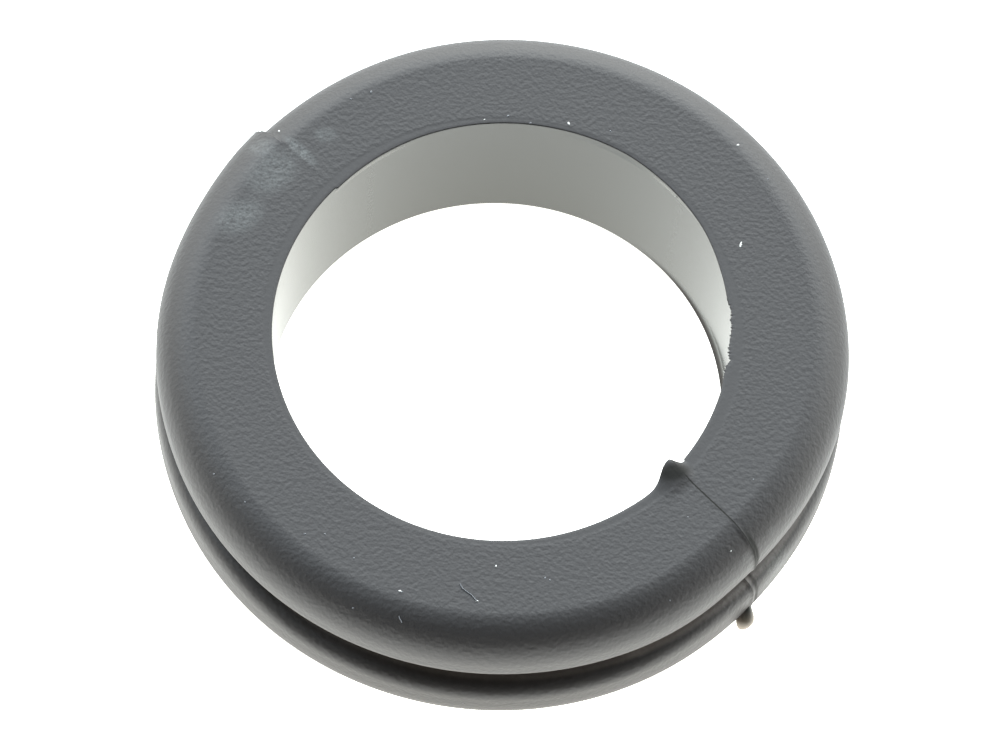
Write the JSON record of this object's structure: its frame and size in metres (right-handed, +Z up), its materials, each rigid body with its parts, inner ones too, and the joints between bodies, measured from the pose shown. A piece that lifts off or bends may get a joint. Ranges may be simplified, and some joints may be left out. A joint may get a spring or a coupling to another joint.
{
  "type": "rubber cable grommet",
  "caption": "Moulded rubber grommet: a round ring with a groove between its rounded flanges that snaps into a panel hole and guards a cable in its bore.",
  "frame": {"origin": "centre of the underside, on the axis of the bore", "axes": "+Z up along the axis of the bore, from the underside to the top face; +X at azimuth zero, with the mould's parting plane turned -36.5 degrees from it"},
  "size_m": [0.038, 0.0381, 0.0096],
  "materials": {
    "black_rubber": "matte black moulded rubber with a fine pebble grain"
  },
  "bodies": {
    "root": {"grommet": "black_rubber"}
  },
  "joints": []
}
